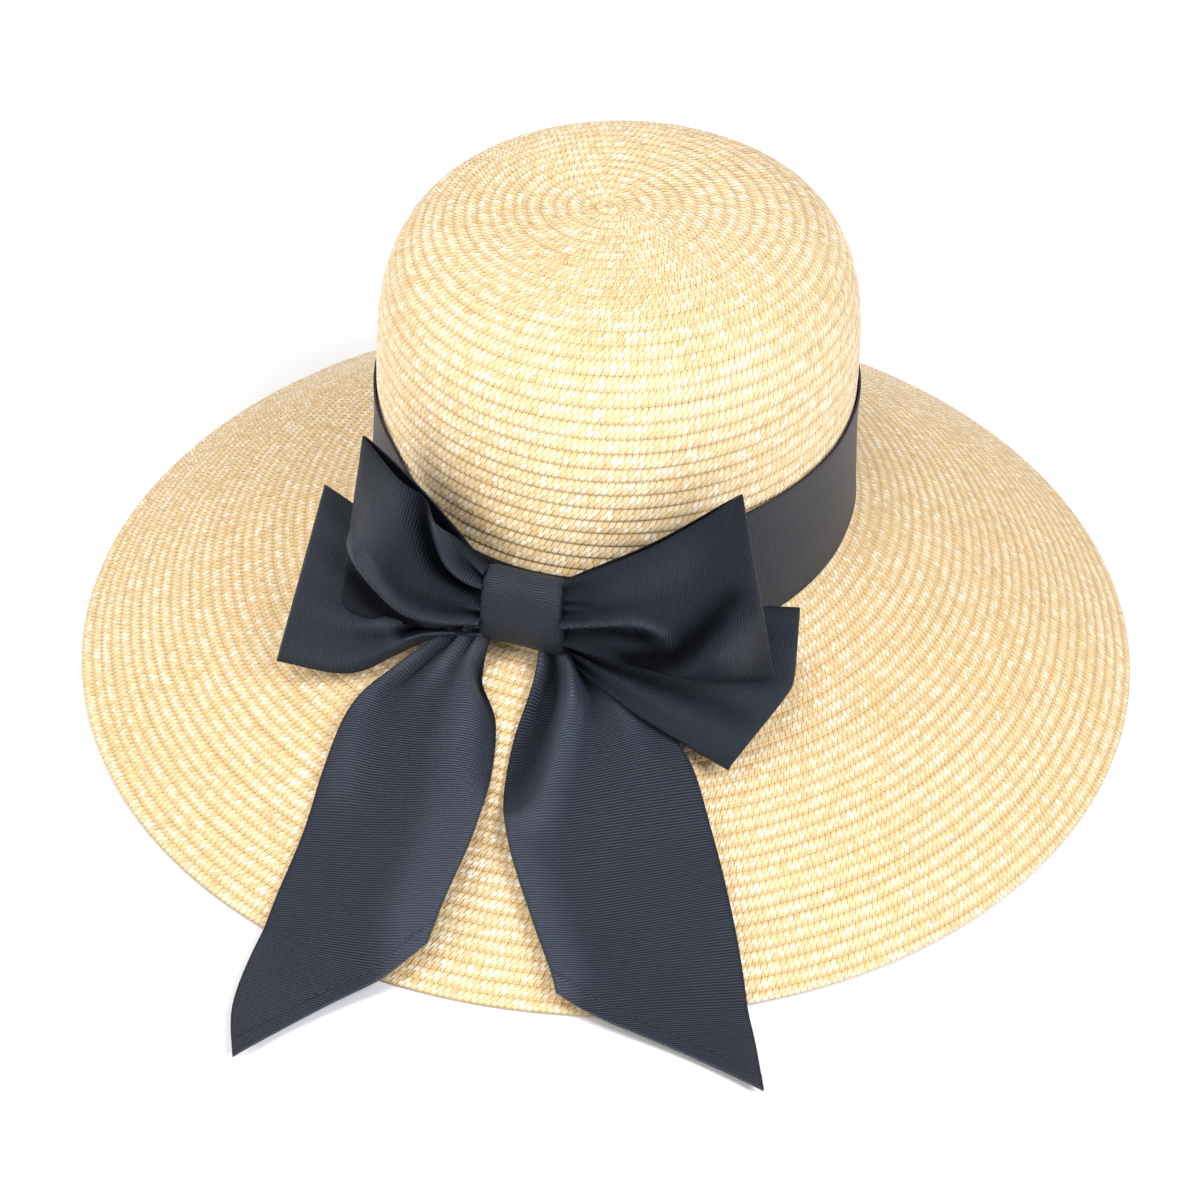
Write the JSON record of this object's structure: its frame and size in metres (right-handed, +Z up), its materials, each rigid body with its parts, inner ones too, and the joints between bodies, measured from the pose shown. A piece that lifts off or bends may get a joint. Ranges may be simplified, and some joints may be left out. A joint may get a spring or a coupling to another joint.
{
  "type": "straw sun hat",
  "caption": "Wide-brimmed sewn-braid straw sun hat with a dark grosgrain band, a double bow and two free ribbon tails.",
  "frame": {"origin": "centre of the head opening at the head line, where crown and brim meet", "axes": "+Z up through the crown, -Y towards the front of the hat, where the bow is, +X to the right of someone facing the bow"},
  "size_m": [0.383, 0.4472, 0.1684],
  "materials": {
    "straw": "woven wheat straw braid, satin",
    "ribbon": "grosgrain ribbon, soft sheen",
    "sweatband_ribbon": "cotton grosgrain, matt",
    "thread": "sewing thread, matt"
  },
  "bodies": {
    "hat": {"crown_tip": "straw", "crown_wall": "straw", "brim": "straw", "brim_edge": "straw", "sweatband": "sweatband_ribbon", "sweatband_stitches": "thread", "hat_band": "ribbon", "bow_knot": "ribbon", "bow_tacks": "thread", "upper_loop_left": "ribbon", "upper_loop_right": "ribbon", "lower_loop_left": "ribbon", "lower_loop_right": "ribbon", "tail_root_left": "ribbon", "tail_root_right": "ribbon"},
    "tail_left_free": {"tail_left": "ribbon", "hem_stitches_left": "thread"},
    "tail_right_free": {"tail_right": "ribbon", "hem_stitches_right": "thread"}
  },
  "joints": [
    {"name": "tail_left_lift", "type": "hinge", "parent": "hat", "child": "tail_left_free", "pos_m": [-0.04417, -0.13027, -0.01754], "axis": [-0.9807, 0.1426, -0.1338], "range_deg": [0, 95]},
    {"name": "tail_right_lift", "type": "hinge", "parent": "hat", "child": "tail_right_free", "pos_m": [0.01683, -0.14273, -0.01998], "axis": [-0.9221, -0.367, -0.1229], "range_deg": [0, 95]}
  ]
}
